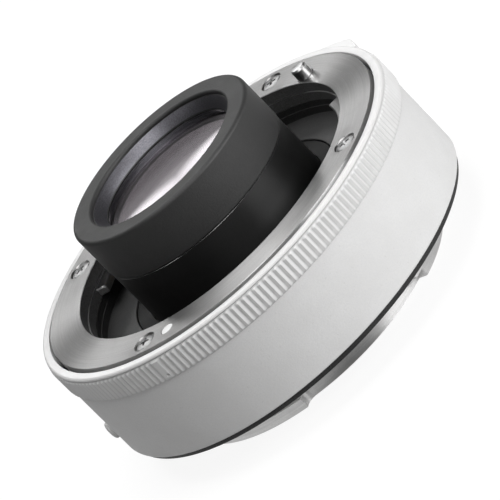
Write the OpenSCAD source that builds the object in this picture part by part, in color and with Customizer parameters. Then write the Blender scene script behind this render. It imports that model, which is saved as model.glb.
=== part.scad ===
// Camera teleconverter: a white barrel with a female bayonet in front, a male bayonet behind
// and a black lens head that stands out of the front well.
// Millimetres. The origin is the centre of the rear seat and +Z runs along the optical axis to the front.
// Angles are degrees about +Z, counted from +X towards +Y.

/* [Front mount] */
// Height of the flange face above the rear seat
flange_z = 17.55; // [17:0.05:20]
// Width of the flange from its bore to its outer edge
flange_w = 5.55; // [5:0.05:7]
// Thickness of the flange plate
flange_t = 1.5; // [1.3:0.05:1.7]
// Depth of the ledge in the bore below the flange face
ledge_drop = 1.65; // [1.6:0.05:1.8]
// Width of the ledge in the bore
ledge_step = 0.19; // [0.15:0.01:0.25]
// Depth of the claws' front faces below the flange face
claw_drop = 1.95; // [1.85:0.05:2.1]
// Thickness of a claw
claw_t = 1.25; // [1.1:0.05:1.4]
// Wall of the skirt that carries the claws
skirt_wall = 1.7; // [1.4:0.05:1.75]
// Thickness of the leaf spring ring behind the claws
leaf_t = 0.2; // [0.15:0.05:0.25]
// Depth of the well's floor below the flange face
well_depth = 5.6; // [5.3:0.05:6]

/* [Rear mount] */
// Radius of the male bayonet's tube
bayonet_r = 21.75; // [20:0.05:24]
// Height of a lug above the tube
lug_h = 1.56; // [1.4:0.02:1.8]
// Depth of the male bayonet behind the seat
bayonet_depth = 4.8; // [4.5:0.05:5.2]
// Wall of the male bayonet's tube
tube_wall = 1.45; // [1.2:0.05:1.6]
// Thickness of a lug
lug_t = 1.5; // [1.2:0.05:1.6]
// Angle that one lug spans
lug_span = 50; // [46:1:51]
// Angle of the turn that locks the mount
lock_turn = 54; // [52:1:56]
// Width of the seat from the tube to its edge
seat_w = 6.65; // [6:0.05:7.2]
// Thickness of the seat plate
plate_t = 1.0; // [0.9:0.05:1.3]
// Height of the black skirt ring round the seat plate
skirt_ring_h = 0.4; // [0.3:0.05:0.6]

/* [Ribbed ring and barrel] */
// Gap between the flange's edge and the ring's rim
rim_gap = 0.46; // [0.3:0.02:0.6]
// Wall of the ribbed ring at its ribs
ring_wall = 1.54; // [1.4:0.02:1.8]
// Height of the ribbed ring
ring_h = 4.23; // [4:0.05:4.6]
// Depth of the rim's top below the flange face
rim_drop = 0.27; // [0.2:0.01:0.5]
// Number of ribs round the ring
rib_count = 203; // [160:1:220]
// Depth of the grooves between the ribs
rib_depth = 0.3; // [0.2:0.02:0.34]
// Step from the ribs in to the barrel's side
barrel_step = 0.35; // [0.2:0.05:0.45]
// Wall of the main barrel
shell_wall = 1.55; // [1.4:0.05:1.8]
// Thickness of the main barrel's rear lip
lip_t = 1.2; // [1:0.05:1.6]
// Radius of the raised index bump on the barrel
bump_r = 1.4; // [1:0.1:1.8]
// Height of the index bump above the barrel's side
bump_h = 0.65; // [0.4:0.05:0.8]
// Height of the index bump's centre above the rear seat
bump_z = 4.2; // [3.8:0.1:5.5]

/* [Chassis] */
// Height of the rear bosses
rear_boss_h = 5.8; // [5.4:0.1:6.2]
// Thickness of the chassis web
web_t = 1.6; // [1.4:0.1:2]
// Radius of a rear boss
rear_boss_r = 1.5; // [1.3:0.05:1.7]

/* [Screws] */
// Radius of a mount screw's shank
screw_r = 0.8; // [0.6:0.05:0.9]
// Radius of a mount screw's head
screw_head_r = 1.4; // [1.2:0.05:1.45]
// Length of a mount screw's shank
screw_l = 4; // [3:0.25:5]
// Depth of a front screw's head below the flange face
screw_sink = 0.3; // [0.1:0.05:0.4]

/* [Lens] */
// Radius of the lens barrel
barrel_r = 15.7; // [14:0.05:17]
// Wall of the lens barrel round the elements
barrel_wall = 4.1; // [3.6:0.05:4.6]
// Height of the lens barrel's front edge above the flange face
barrel_rise = 3.2; // [2.6:0.1:4]
// Height of the lens head
head_h = 7.25; // [6.8:0.05:8]
// Amount by which the lens head's radius exceeds the lens barrel's
head_over = 0.1; // [0:0.02:0.2]
// Rounding of the lens head's front edge
head_round = 1.3; // [0.8:0.1:1.6]
// Depth of the front element's edge below the head's front
lens_recess = 2.4; // [2.1:0.1:2.8]
// Amount by which the head's mouth widens to its front
mouth_flare = 1.4; // [1:0.1:1.6]
// Wall of the lens barrel behind the chassis
cell_wall = 2.6; // [2:0.1:2.9]

/* [Lock] */
// Radius of the lock pin
pin_r = 1.03; // [0.9:0.01:1.05]
// Height of the lock pin above the flange face
pin_h = 2.15; // [1.8:0.05:2.2]
// Travel of the lock pin
pin_travel = 2.2; // [1.9:0.05:2.3]
// Distance of the lock pin's axis from the bore
pin_in = 1.45; // [1.35:0.05:1.6]
// Angle that the release lever turns through
lever_turn = 6; // [5:0.5:6]
// Thickness of the release lever's inner wall
lever_wall = 0.6; // [0.5:0.05:0.7]
// Height of the release lever's thumb tab above the ring's ribs
tab_out = 1.15; // [0.8:0.05:1.3]
// Height of the release lever's thumb tab along the axis
tab_h = 3.2; // [2.8:0.1:3.5]

/* [Contacts] */
// Number of contacts
contact_count = 10; // [6:1:10]
// Angle between neighbouring contacts
contact_pitch = 5.4; // [5:0.1:5.6]
// Radius of a contact pin's tip
contact_r = 0.42; // [0.35:0.01:0.45]
// Travel of a contact pin
contact_travel = 0.7; // [0.5:0.05:0.75]
// Depth of the contact block's face below the flange face
block_drop = 3.95; // [3.8:0.05:4.1]
// Width of the front contact block
block_w = 1.8; // [1.7:0.05:1.9]

/* [Hidden] */
$fn = 120;
// Sides of the rounds whose exact shape matters most
fine = 360;
// Overlap of solids that are joined or cut
eps = 0.05;
// Gap between pieces that are screwed or bonded together
fit = 0.05;
// Gap round a piece that slides in another
slide = 0.05;
// Gap round a piece that moves past another
clear = 0.15;
// Small chamfer on turned edges
edge = 0.15;
// Length by which a cut runs past what it cuts
over = 1;

// Places of the features round the axis. The lugs are spaced unevenly, so the mount goes in one way only.
lug_starts = [92, 197, 310];
front_screw_angles = [45, 135, 226, 316];
rear_screw_angles = [0, 90, 180, 270];
pin_az = 25.1;
dot_az = 235;
bump_az = 180;
contact_az = 105;
rib_az = 0.43;
flat_rib_az = 231.8;

// Heights from the rear seat forwards
lip_z1 = plate_t + lip_t;
web_z0 = lip_z1 + rear_boss_h;
web_z1 = web_z0 + web_t;
flange_z0 = flange_z - flange_t;
ledge_z = flange_z - ledge_drop;
claw_z1 = flange_z - claw_drop;
claw_z0 = claw_z1 - claw_t;
leaf_z0 = claw_z0 - leaf_t;
floor_z = flange_z - well_depth;
floor_t = 0.8;
rim_z = flange_z - rim_drop;
ring_z0 = rim_z - ring_h;

// Bayonet radii, from the tube out to the flange's edge
claw_gap = 0.15;
claw_r = bayonet_r + claw_gap;
lug_r = bayonet_r + lug_h;
wall_r = lug_r + claw_gap;
bore_r = wall_r + ledge_step;
flange_r = bore_r + flange_w;
skirt_r = wall_r + skirt_wall;
pin_ring_r = bore_r + pin_in;
tube_in_r = bayonet_r - tube_wall;
seat_r = bayonet_r + seat_w;
rear_screw_ring_r = bayonet_r + seat_w / 2;
lug_z1 = lug_t - bayonet_depth;
stop_span = 4.5;
stop_z = [lug_z1 - 0.45, lug_z1 + 0.6];

// Radii from the flange's edge outwards to the ribs, and back in to the barrel's side
ring_in_r = flange_r + rim_gap;
rib_r = ring_in_r + ring_wall;
rib_root_r = rib_r - rib_depth;
shell_r = rib_r - barrel_step;
shell_in_r = shell_r - shell_wall;
ledge_w = 1;
shell_ledge_r = shell_in_r - ledge_w;
spigot_wall = 0.5;
spigot_r = ring_in_r + 2 * fit;
spigot_h = 1.95;
web_r = shell_in_r - 2 * fit;
lip_gap = 1.75;
lip_in_r = bayonet_r + lip_gap;

// The lever runs inside the barrel's wall, and the front bosses fill the space between it and the skirt.
lever_gap = 0.4;
lever_out_r = shell_in_r - lever_gap;
lever_r = lever_out_r - lever_wall;
front_screw_ring_r = (skirt_r + lever_r) / 2;
front_boss_r = (lever_r - skirt_r) / 2 - clear;

// Lens barrel and head
bore_gap = 0.1;
barrel_bore_r = barrel_r - barrel_wall;
lens_r = barrel_bore_r - bore_gap;
cell_r = barrel_bore_r + cell_wall;
barrel_top = flange_z + barrel_rise;
barrel_flange_w = 1.9;
barrel_flange_t = 1.2;
collar_w = 2.3;
collar_r = barrel_r + collar_w;
collar_drop = 0.15;
head_r = barrel_r + head_over;
head_top = barrel_top + head_h;
head_spigot_wall = 1.9;
head_spigot_h = 1.7;
land = 0.6;
aperture_r = lens_r - land + fit;
lens_front_z = head_top - lens_recess;
baffle_t = 0.6;
baffle_recess = 1.4;
baffle_z0 = baffle_recess - bayonet_depth;
baffle_gap = 0.3;
barrel_z0 = baffle_z0 + baffle_t + baffle_gap;
retainer_t = 1.3;

// The lens stack from front to back: edge thickness, front and back radius. A negative radius is hollow.
lens_stack = [[2.6, 55, 90], [2.8, 60, 45], [3.2, -45, -60], [2.2, -40, 70], [2.4, 48, 60], [1.8, -70, 60]];
// The third element is cemented to the second, so no spacer stands before it.
lens_names = ["front_element", "pair_front_element", "pair_rear_element", "fourth_element",
              "fifth_element", "rear_element"];
spacer_before = [false, true, false, true, true, true];
spacer_names = ["front_spacer", "middle_spacer", "inner_rear_spacer", "outer_rear_spacer"];
spacer_w = land - 0.1;
stack_length = lens_front_z - barrel_z0 - retainer_t;
edge_total = [for (e = lens_stack) e[0]] * [for (e = lens_stack) 1];
spacer_t = (stack_length - edge_total) / len(spacer_names);
// Spacers that stand before element i, and the height of that element's front edge
function spacers_to(i) = len([for (k = [0 : i]) if (spacer_before[k]) k]);
function edges_to(i) = i == 0 ? 0 : edges_to(i - 1) + lens_stack[i - 1][0];
function lens_z(i) = lens_front_z - edges_to(i) - spacers_to(i) * spacer_t;

// Lever and lock pin
lever_a = [6, 30];
rail_h = 0.25;
lever_z = [web_z1 + rail_h + 2 * eps, flange_z0 - clear];
stem_a = [17, 25];
tab_a = [13.5, 17.5, 19.5, 25.5, 31.5];
stem_h = 1.9;
stem_z = [lever_z[1] - stem_h, lever_z[1] - eps];
window_gap_a = 0.8;
tab_r = rib_r + clear;
tab_drop = 0.3;
tab_z1 = rim_z - tab_drop;
peg_r = 0.4;
peg_drop = 0.9;
peg_z = stem_z[0] - peg_drop;
shank_r = 0.5;
shoulder_gap = 0.6;
shoulder_z = peg_z - shoulder_gap;
pocket_gap = 0.12;
pocket_r = pin_r + pocket_gap;
pocket_floor = 0.4;
pocket_z = web_z0 + pocket_floor;
shank_z0 = web_z0 + 2 * fit;
post_a = [41.7, 42.9];
lever_spring_r = lever_r + lever_wall / 2 - eps;

// Contacts
block_r = collar_r + 2 * clear;
block_out_r = block_r + block_w;
block_z = flange_z - block_drop;
contact_ring_r = block_r + block_w / 2;
contact_span = (contact_count + 0.6) * contact_pitch;
contact_a = [contact_az - contact_span / 2, contact_az + contact_span / 2];
tip_h = contact_travel + 2 * fit;
head_stop = 0.65;
shoulder_t = 0.8;
shoulder_w = 0.16;
shoulder_r = contact_r + shoulder_w;
block_floor = 0.25;
pad_r = 0.65;
pad_t = 0.3;
rear_block_w = 2.8;
rear_block_r = tube_in_r - 2 * fit;
rear_block_h = 2.5;
rear_block_z = [baffle_z0 - 2 * fit, baffle_z0 - 2 * fit + rear_block_h];
rear_pad_ring_r = rear_block_r - rear_block_w / 2;

// Circuit board and its leads
board_t = 0.8;
board_drop = 1.6;
board_z1 = web_z0 - board_drop;
board_gap = 1.6;
board_in_r = cell_r + board_gap;
board_r = rear_screw_ring_r - rear_boss_r - 2 * clear;
board_screw_angles = [30, 170, 270];
board_screw_ring_r = (board_in_r + board_r) / 2;
standoff_r = 1.1;
board_screw_r = 0.5;
board_screw_l = 1.5;
lead_t = 0.2;
lead_span = 20;
lead_a = [contact_az - lead_span / 2, contact_az + lead_span / 2];
rear_lead_r = max(board_in_r + 2 * lead_t, rear_pad_ring_r);

function contact_node(kind, i) = str(kind, "_", i < 9 ? "0" : "", i + 1);
function contact_angle(i) = contact_az + (i - (contact_count - 1) / 2) * contact_pitch;
function polar(r, a) = [r * cos(a), r * sin(a)];
function arc_points(cx, cy, r, a0, a1, n) =
    [for (i = [0 : n]) [cx, cy] + polar(r, a0 + (a1 - a0) * i / n)];

// Shared shapes

// A tube between two radii and two heights
module tube(r0, r1, z0, z1) {
    translate([0, 0, z0])
        linear_extrude(z1 - z0)
            difference() {
                circle(r1);
                circle(r0);
            }
}

// A piece of a tube between two angles
module sector(r0, r1, z0, z1, a0, a1) {
    rotate_extrude(angle = a1 - a0, start = a0)
        translate([r0, z0])
            square([r1 - r0, z1 - z0]);
}

// A round rod between two heights
module rod(r, z0, z1) {
    translate([0, 0, z0])
        cylinder(r = r, h = z1 - z0);
}

// Copies on a circle
module on_circle(r, angles) {
    for (a = angles)
        rotate([0, 0, a])
            translate([r, 0, 0])
                children();
}

// A countersunk cross-head screw, point down, with the top of its head at z = 0
module cross_screw(head_r, shank_r, length) {
    head_h = head_r - shank_r;
    slot_w = head_r * 0.28;
    slot_l = head_r * 1.25;
    slot_d = head_h * 0.6;
    rim_h = 0.15;
    difference() {
        union() {
            rod(shank_r, -rim_h - head_h - length, -rim_h - head_h + eps);
            translate([0, 0, -rim_h - head_h])
                cylinder(r1 = shank_r, r2 = head_r, h = head_h);
            rod(head_r, -rim_h, 0);
        }
        for (a = [0, 90])
            rotate([0, 0, a])
                translate([-slot_l / 2, -slot_w / 2, -slot_d])
                    cube([slot_l, slot_w, slot_d + eps]);
    }
}

// The hole for that screw: a straight mouth, a countersink and a clearance hole
module screw_seat(head_r, shank_r, sink, depth) {
    head_h = head_r - shank_r;
    rim_h = 0.15;
    rod(head_r + 4 * fit, -sink - rim_h, eps);
    translate([0, 0, -sink - rim_h - head_h])
        cylinder(r1 = shank_r + fit, r2 = head_r + fit, h = head_h + fit);
    rod(shank_r + fit, -depth, -sink - rim_h - head_h + eps);
}

// A coil spring that stands on z = 0, as one unbroken wire
module coil(coil_r, wire_r, height, turns) {
    sides = 6;
    steps = 8 * turns;
    rise = (height - 2 * wire_r) / steps;
    points = [for (i = [0 : steps], k = [0 : sides - 1])
        let (t = 45 * i, s = 360 * k / sides, r = coil_r + wire_r * cos(s))
        [r * cos(t), r * sin(t), wire_r + rise * i + wire_r * sin(s)]];
    walls = [for (i = [0 : steps - 1], k = [0 : sides - 1])
        let (a = i * sides + k, b = i * sides + (k + 1) % sides)
        each [[a, b, b + sides], [a, b + sides, a + sides]]];
    caps = [for (k = [1 : sides - 2]) each [[0, k + 1, k], [0, k, k + 1] + steps * sides * [1, 1, 1]]];
    polyhedron(points, concat(walls, caps));
}

// A lens element with its front edge at z = 0, and hollow or domed faces inside a flat land
module element(edge_t, front_r, back_r) {
    face_r = lens_r - land;
    difference() {
        union() {
            rod(lens_r, -edge_t, 0);
            if (front_r > 0)
                dome(front_r, face_r);
            if (back_r > 0)
                translate([0, 0, -edge_t])
                    mirror([0, 0, 1])
                        dome(back_r, face_r);
        }
        if (front_r < 0)
            hollow(-front_r, face_r);
        if (back_r < 0)
            translate([0, 0, -edge_t])
                mirror([0, 0, 1])
                    hollow(-back_r, face_r);
    }
}

// The cap of a ball of radius ball_r whose rim, at z = 0, has radius rim_r
module dome(ball_r, rim_r) {
    sink = 0.3;
    depth = sqrt(ball_r * ball_r - rim_r * rim_r);
    intersection() {
        translate([0, 0, -depth])
            sphere(ball_r, $fn = fine);
        rod(rim_r, -sink, ball_r - depth + over);
    }
}

// The ball that hollows a face out, a hair larger than the dome that fits it
module hollow(ball_r, rim_r) {
    cement = 0.02;
    translate([0, 0, sqrt(ball_r * ball_r - rim_r * rim_r)])
        sphere(ball_r + cement, $fn = fine);
}

// Outer shell

module main_barrel() {
    color([0.86, 0.86, 0.84])
        difference() {
            union() {
                rotate_extrude()
                    polygon([[lip_in_r, plate_t], [shell_r - edge, plate_t], [shell_r, plate_t + edge],
                             [shell_r, ring_z0], [spigot_r + spigot_wall, ring_z0],
                             [spigot_r + spigot_wall, ring_z0 + spigot_h], [spigot_r, ring_z0 + spigot_h],
                             [spigot_r, ring_z0 - eps], [shell_in_r, ring_z0 - eps], [shell_in_r, web_z0],
                             [shell_ledge_r, web_z0], [shell_ledge_r, lip_z1], [lip_in_r, lip_z1]]);
            }
            lever_window(spigot_r - over, spigot_r + over, ring_z0 + eps, ring_z0 + spigot_h + over, 2);
            on_circle(rear_screw_ring_r, rear_screw_angles)
                rod(screw_r + fit, plate_t - eps, lip_z1 + eps);
            bump_axis()
                rod(bump_r + fit, shell_in_r - shell_r - ledge_w - over, bump_h + over);
        }
}

// The opening that the lever's stem moves in
module lever_window(r0, r1, z0, z1, extra_a) {
    sector(r0, r1, z0, z1, stem_a[0] - window_gap_a - extra_a,
           stem_a[1] + lever_turn + window_gap_a + extra_a);
}

// Moves z to the outward normal of the barrel's side at the index bump
module bump_axis() {
    rotate([0, 0, bump_az])
        translate([shell_r, 0, bump_z])
            rotate([0, 90, 0])
                children();
}

module rear_index_bump() {
    depth = shell_wall + ledge_w;
    dome_h = bump_h * 0.6;
    ball_r = (bump_r * bump_r + dome_h * dome_h) / (2 * dome_h);
    color([0.93, 0.93, 0.92])
        bump_axis()
            intersection() {
                rod(bump_r, -depth, bump_h);
                translate([0, 0, bump_h - ball_r])
                    sphere(ball_r);
            }
}

// Outline of the ribs: each rib has two crest points and two root points
module rib_outline() {
    pitch = 360 / rib_count;
    crest_half = pitch * 0.2;
    root_half = pitch * 0.31;
    flat = floor((flat_rib_az - rib_az) / pitch);
    polygon([for (i = [0 : rib_count - 1])
        let (a = rib_az + i * pitch,
             left = i == flat + 1 ? rib_r : rib_root_r,
             right = i == flat ? rib_r : rib_root_r)
        each [polar(left, a - root_half), polar(rib_r, a - crest_half),
              polar(rib_r, a + crest_half), polar(right, a + root_half)]]);
}

module ribbed_ring() {
    groove_h = 0.1;
    rim_h = 0.43;
    rim_r = rib_root_r + 0.06;
    groove_r = rib_root_r - 0.2;
    rib_z1 = rim_z - rim_h - groove_h;
    chamfer = 0.4;
    rear_chamfer = 0.2;
    inner_z = ring_z0 + spigot_h + eps;
    color([0.88, 0.88, 0.86])
        difference() {
            union() {
                intersection() {
                    translate([0, 0, ring_z0])
                        linear_extrude(rib_z1 - ring_z0)
                            rib_outline();
                    rotate_extrude()
                        polygon([[0, ring_z0 - eps], [rib_r - rear_chamfer, ring_z0 - eps],
                                 [rib_r + eps, ring_z0 + rear_chamfer], [rib_r + eps, rib_z1 - chamfer],
                                 [rib_root_r - 0.06, rib_z1 + eps], [0, rib_z1 + eps]]);
                }
                rod(groove_r, rib_z1 - eps, rib_z1 + groove_h + eps);
                rotate_extrude()
                    polygon(concat([[0, rim_z - rim_h], [rim_r, rim_z - rim_h]],
                                   arc_points(rim_r - rim_h, rim_z - rim_h, rim_h, 5, 90, 8),
                                   [[0, rim_z]]));
            }
            rod(ring_in_r, ring_z0 - over, rim_z + over, $fn = fine);
            rod(spigot_r + spigot_wall + fit, ring_z0 - over, inner_z, $fn = fine);
            lever_window(ring_in_r - over, rib_r + over, stem_z[0] - clear, stem_z[1] + clear, 0);
        }
}

// Front mount

module front_mount() {
    bore_edge = 0.12;
    color([0.74, 0.74, 0.72])
        difference() {
            union() {
                rotate_extrude()
                    polygon([[wall_r, claw_z0], [skirt_r, claw_z0], [skirt_r, flange_z0],
                             [flange_r, flange_z0], [flange_r, flange_z - edge], [flange_r - edge, flange_z],
                             [bore_r + bore_edge, flange_z], [bore_r, flange_z - bore_edge],
                             [bore_r, ledge_z], [wall_r, ledge_z]]);
                for (a = lug_starts)
                    sector(claw_r, wall_r + eps, claw_z0, claw_z1, a + 0.5, a + lock_turn - 1);
            }
            translate([0, 0, flange_z])
                on_circle(front_screw_ring_r, front_screw_angles)
                    screw_seat(screw_head_r, screw_r, screw_sink, flange_t + eps);
            on_circle(pin_ring_r, [pin_az])
                rod(pin_r + slide, claw_z0 - eps, flange_z + eps);
            index_dot_shape(fit, eps);
        }
}

module index_dot_shape(gap, rise) {
    dot_r = 0.95;
    dot_t = 0.4;
    dot_in = 0.35;
    dot_sink = 0.02;
    on_circle(front_screw_ring_r - dot_in, [dot_az])
        rod(dot_r + gap, flange_z - dot_t, flange_z - dot_sink + rise);
}

module front_index_dot() {
    color([0.97, 0.97, 0.96])
        index_dot_shape(0, 0);
}

module flange_screws() {
    color([0.78, 0.78, 0.77])
        translate([0, 0, flange_z - screw_sink])
            on_circle(front_screw_ring_r, front_screw_angles)
                cross_screw(screw_head_r, screw_r, screw_l);
}

module mount_spring_ring() {
    ring_r = [wall_r + clear, skirt_r - clear];
    finger_step = 0.4;
    finger_r = claw_r + finger_step;
    root_a = 8;
    tip_a = 6;
    color([0.7, 0.68, 0.6])
        difference() {
            union() {
                tube(ring_r[0], ring_r[1], leaf_z0, claw_z0);
                for (a = lug_starts) {
                    root = a + lock_turn / 2 - root_a;
                    sector(finger_r, wall_r, leaf_z0, claw_z0, root, a + lock_turn - tip_a);
                    sector(wall_r - eps, ring_r[0] + eps, leaf_z0, claw_z0, root, root + root_a);
                }
            }
            on_circle(pin_ring_r, [pin_az])
                rod(pin_r + clear, leaf_z0 - eps, claw_z0 + eps);
        }
}

module well_liner() {
    liner_r = [wall_r + 2 * fit, pin_ring_r - pin_r - pocket_gap];
    color([0.13, 0.13, 0.13])
        difference() {
            union() {
                tube(liner_r[0], liner_r[1], web_z1, leaf_z0 - fit);
                tube(collar_r + 2 * fit, liner_r[0] + eps, floor_z - floor_t, floor_z);
            }
            sector(collar_r, block_out_r + 2 * fit, floor_z - floor_t - eps, floor_z + eps,
                   contact_a[0] - 0.4, contact_a[1] + 0.4);
        }
}

// Chassis and its moving lock

module chassis() {
    color([0.3, 0.31, 0.32])
        difference() {
            union() {
                tube(barrel_r + fit, web_r, web_z0, web_z1);
                on_circle(front_screw_ring_r, front_screw_angles)
                    rod(front_boss_r, web_z1 - eps, flange_z0);
                on_circle(rear_screw_ring_r, rear_screw_angles)
                    rod(rear_boss_r, lip_z1, web_z0 + eps);
                on_circle(board_screw_ring_r, board_screw_angles)
                    rod(standoff_r, board_z1, web_z0 + eps);
                sector(lever_r - eps, web_r - eps, web_z1 - eps, web_z1 + rail_h,
                       lever_a[0] - 2, lever_a[1] + lever_turn + 2);
                sector(lever_r - 3 * eps, web_r - eps, web_z1 - eps, flange_z0 - clear, post_a[0], post_a[1]);
            }
            on_circle(front_screw_ring_r, front_screw_angles)
                rod(screw_r + fit, flange_z0 - screw_l, flange_z0 + eps);
            on_circle(rear_screw_ring_r, rear_screw_angles)
                rod(screw_r + fit, lip_z1 - eps, lip_z1 + screw_l);
            on_circle(board_screw_ring_r, board_screw_angles)
                rod(board_screw_r + fit, board_z1 - eps, board_z1 + board_screw_l + clear);
            on_circle(pin_ring_r, [pin_az]) {
                rod(pocket_r, pocket_z, web_z1 + eps);
                rod(shank_r + slide, web_z0 - eps, pocket_z + eps);
            }
            sector(contact_ring_r - lead_t, contact_ring_r + lead_t, web_z0 - eps, web_z1 + eps,
                   lead_a[0] - 0.5, lead_a[1] + 0.5);
        }
}

// Outline of the thumb tab, steep on the side that the thumb pushes
module tab_outline() {
    rise = [0.15, 0.85, 1, 0.55, 0.1];
    last = len(tab_a) - 1;
    difference() {
        polygon(concat([polar(tab_r - over, tab_a[0])],
                       [for (i = [0 : last]) polar(tab_r + tab_out * rise[i], tab_a[i])],
                       [polar(tab_r - over, tab_a[last])]));
        circle(tab_r);
    }
}

module release_lever() {
    // The slot runs back and down from the peg, so the turning lever draws the pin in.
    slot_half_w = lever_r * sin(lever_turn / 2);
    slot_len = norm([2 * slot_half_w, pin_travel]);
    slot_r = peg_r + 2 * slide;
    color([0.9, 0.9, 0.88])
        difference() {
            union() {
                sector(lever_r, lever_out_r, lever_z[0], lever_z[1], lever_a[0], lever_a[1]);
                sector(lever_out_r - eps, tab_r + 2 * eps, stem_z[0], stem_z[1], stem_a[0], stem_a[1]);
                translate([0, 0, tab_z1 - tab_h])
                    linear_extrude(tab_h)
                        tab_outline();
            }
            rotate([90, 0, pin_az - lever_turn / 2 + 90])
                linear_extrude(lever_out_r + slide)
                    translate([slot_half_w, peg_z])
                        rotate(180 + atan2(pin_travel, 2 * slot_half_w)) {
                            translate([0, -slot_r])
                                square([slot_len, 2 * slot_r]);
                            circle(slot_r);
                            translate([slot_len, 0])
                                circle(slot_r);
                        }
        }
}

module lock_pin() {
    tip_edge = 0.25;
    color([0.82, 0.82, 0.82])
        union() {
            on_circle(pin_ring_r, [pin_az]) {
                rod(pin_r, shoulder_z, flange_z + pin_h - tip_edge);
                translate([0, 0, flange_z + pin_h - tip_edge])
                    cylinder(r1 = pin_r, r2 = pin_r - tip_edge, h = tip_edge);
                rod(shank_r, shank_z0, shoulder_z + eps);
            }
            rotate([0, 0, pin_az])
                translate([pin_ring_r, 0, peg_z])
                    rotate([0, 90, 0])
                        rod(peg_r, 0, lever_out_r + eps - pin_ring_r);
        }
}

module lock_pin_spring() {
    wire_r = 0.13;
    color([0.75, 0.76, 0.78])
        on_circle(pin_ring_r, [pin_az])
            translate([0, 0, pocket_z + eps / 2])
                coil((shank_r + pin_r) / 2 + eps, wire_r, shoulder_z - pocket_z - eps, 5);
}

module lever_spring() {
    wire_r = 0.13;
    coil_r = 0.42;
    gap_a = 0.3;
    a0 = lever_a[1] + gap_a;
    a1 = post_a[0] - gap_a;
    span = 2 * lever_spring_r * sin((a1 - a0) / 2);
    chord_r = lever_spring_r * cos((a1 - a0) / 2);
    color([0.75, 0.76, 0.78])
        rotate([0, 0, (a0 + a1) / 2])
            translate([chord_r, -span / 2, (lever_z[0] + lever_z[1]) / 2])
                rotate([-90, 0, 0])
                    coil(coil_r, wire_r, span, 6);
}

// Lens group

module lens_barrel() {
    color([0.08, 0.08, 0.08])
        rotate_extrude()
            polygon([[barrel_bore_r, barrel_z0], [cell_r, barrel_z0], [cell_r, web_z0], [barrel_r, web_z0],
                     [barrel_r, web_z1], [barrel_r + barrel_flange_w, web_z1],
                     [barrel_r + barrel_flange_w, web_z1 + barrel_flange_t],
                     [barrel_r, web_z1 + barrel_flange_t], [barrel_r, barrel_top - edge],
                     [barrel_r - edge, barrel_top], [barrel_bore_r + head_spigot_wall, barrel_top],
                     [barrel_bore_r + head_spigot_wall, barrel_top + head_spigot_h],
                     [barrel_bore_r, barrel_top + head_spigot_h]]);
}

module barrel_collar() {
    color([0.1, 0.1, 0.1])
        tube(barrel_r + fit, collar_r, web_z1 + barrel_flange_t, floor_z - collar_drop);
}

module lens_head() {
    lip_round = 0.3;
    mouth_r = aperture_r + mouth_flare;
    spigot_out_r = barrel_bore_r + head_spigot_wall + fit;
    shoulder_z = barrel_top + head_spigot_h + fit;
    land_z = lens_front_z;
    color([0.14, 0.14, 0.14])
        rotate_extrude()
            polygon(concat(
                [[spigot_out_r, barrel_top], [head_r - edge, barrel_top], [head_r, barrel_top + edge]],
                arc_points(head_r - head_round, head_top - head_round, head_round, 0, 90, 10),
                arc_points(mouth_r + lip_round, head_top - lip_round, lip_round, 90, 180, 4),
                [[aperture_r, land_z + edge], [aperture_r, land_z], [barrel_bore_r, land_z],
                 [barrel_bore_r, shoulder_z], [spigot_out_r, shoulder_z]]));
}

module lens_element(i) {
    tints = [[0.32, 0.27, 0.4, 0.5], [0.6, 0.7, 0.75, 0.4]];
    color(i == 0 ? tints[0] : tints[1])
        translate([0, 0, lens_z(i)])
            element(lens_stack[i][0], lens_stack[i][1], lens_stack[i][2]);
}

// Spacer k fills the gap in front of the element that follows it
module lens_spacer(k) {
    i = [for (n = [0 : len(lens_stack) - 1]) if (spacer_before[n]) n][k];
    color([0.12, 0.12, 0.12])
        tube(lens_r - spacer_w, lens_r, lens_z(i), lens_z(i) + spacer_t);
}

module rear_retaining_ring() {
    color([0.1, 0.1, 0.1])
        tube(lens_r - spacer_w, lens_r + fit, barrel_z0, barrel_z0 + retainer_t);
}

// Contacts and circuit

module front_contact_block() {
    color([0.16, 0.16, 0.17])
        difference() {
            sector(block_r, block_out_r, web_z1, block_z, contact_a[0], contact_a[1]);
            for (i = [0 : contact_count - 1])
                on_circle(contact_ring_r, [contact_angle(i)]) {
                    rod(contact_r + slide, web_z1 + block_floor, block_z + eps);
                    rod(shoulder_r + slide, web_z1 + block_floor, block_z - head_stop);
                }
        }
}

module contact_pin(i) {
    tip_edge = 0.15;
    top = block_z - head_stop - fit;
    color([0.85, 0.68, 0.32])
        on_circle(contact_ring_r, [contact_angle(i)]) {
            rod(shoulder_r, top - shoulder_t, top);
            rod(contact_r, top - eps, block_z + tip_h - tip_edge);
            translate([0, 0, block_z + tip_h - tip_edge])
                cylinder(r1 = contact_r, r2 = contact_r - tip_edge, h = tip_edge);
        }
}

module contact_spring(i) {
    wire_r = 0.08;
    base = web_z1 + block_floor;
    top = block_z - head_stop - fit - shoulder_t;
    color([0.75, 0.76, 0.78])
        on_circle(contact_ring_r, [contact_angle(i)])
            translate([0, 0, base + eps / 2])
                coil(shoulder_r - 2 * wire_r, wire_r, top - base - eps, 4);
}

module circuit_board() {
    color([0.1, 0.32, 0.2])
        difference() {
            tube(board_in_r, board_r, board_z1 - board_t, board_z1);
            on_circle(board_screw_ring_r, board_screw_angles)
                rod(board_screw_r + fit, board_z1 - board_t - eps, board_z1 + eps);
        }
}

module board_screws() {
    head_h = 0.5;
    color([0.6, 0.6, 0.62])
        on_circle(board_screw_ring_r, board_screw_angles) {
            rod(board_screw_r * 2, board_z1 - board_t - head_h, board_z1 - board_t);
            rod(board_screw_r, board_z1 - board_t - eps, board_z1 + board_screw_l);
        }
}

module front_lead() {
    color([0.75, 0.5, 0.2])
        sector(contact_ring_r - lead_t / 2, contact_ring_r + lead_t / 2, board_z1, web_z1, lead_a[0], lead_a[1]);
}

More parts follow.
